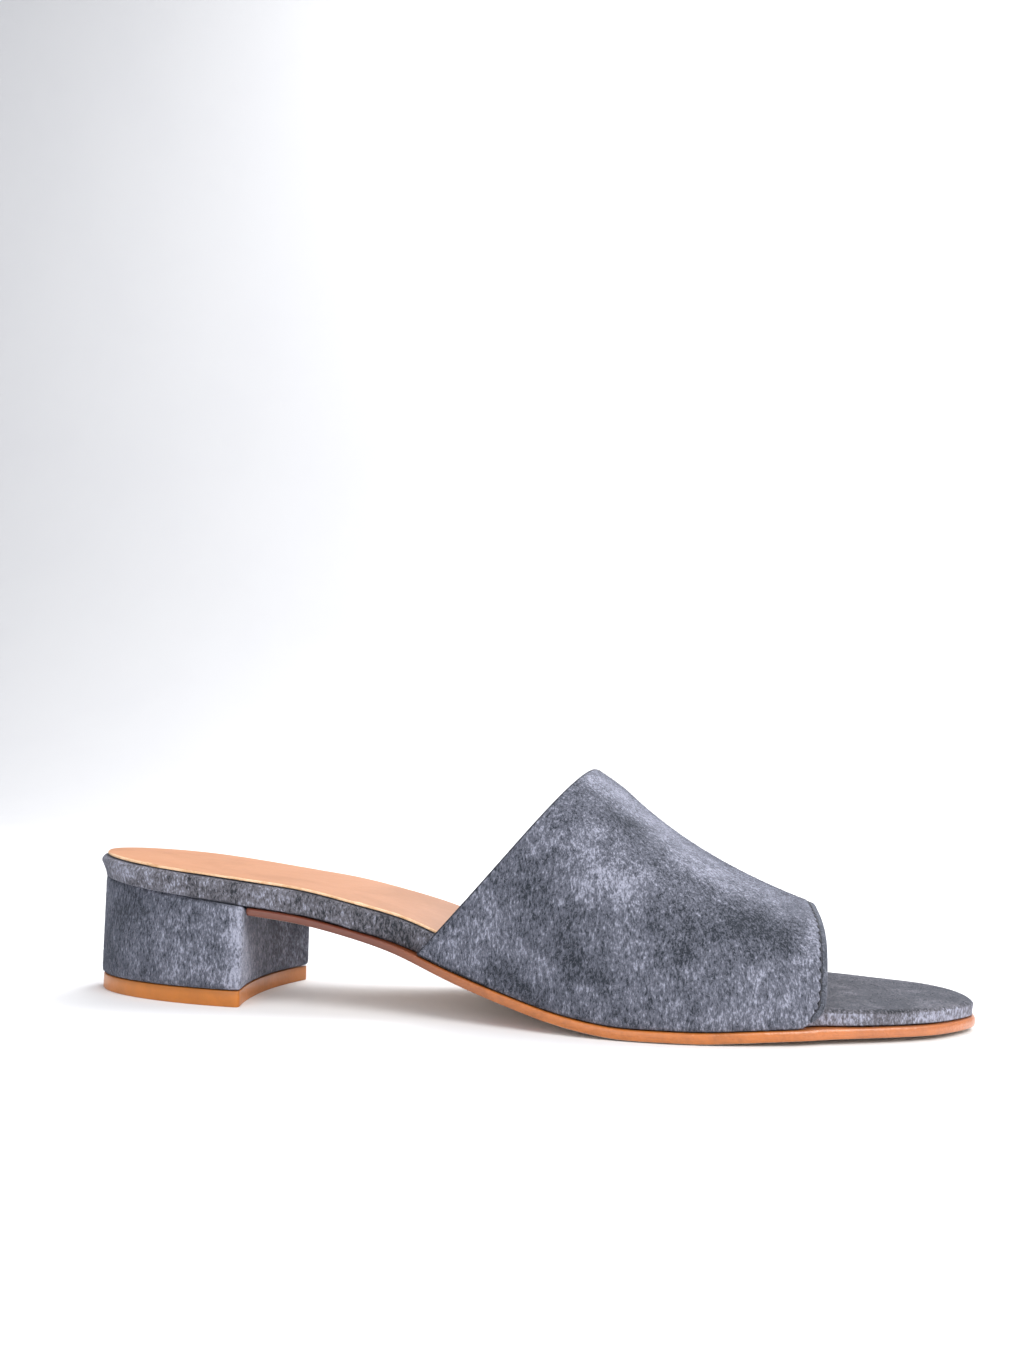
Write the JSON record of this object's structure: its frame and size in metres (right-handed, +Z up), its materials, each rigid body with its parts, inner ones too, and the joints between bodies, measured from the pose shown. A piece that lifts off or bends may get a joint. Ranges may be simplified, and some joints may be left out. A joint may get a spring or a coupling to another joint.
{
  "type": "block heel mule",
  "caption": "Right open-toe suede mule with one broad vamp band, a leather-lined footbed and a low block heel on a leather sole.",
  "frame": {"origin": "on the floor under the middle of the heel's top piece", "axes": "+X from the heel to the toe, +Y to the inner side of the foot, +Z up"},
  "size_m": [0.248, 0.0829, 0.066],
  "materials": {
    "suede": "slate grey suede with a brushed nap",
    "outsole": "sole leather with a burnished brown edge",
    "sock": "smooth tan leather",
    "top_piece": "amber rubber, satin"
  },
  "bodies": {
    "root": {"heel_top_piece": "top_piece", "heel_block": "suede", "outsole": "outsole", "footbed": "suede", "sock_lining": "sock", "upper": "suede"}
  },
  "joints": []
}
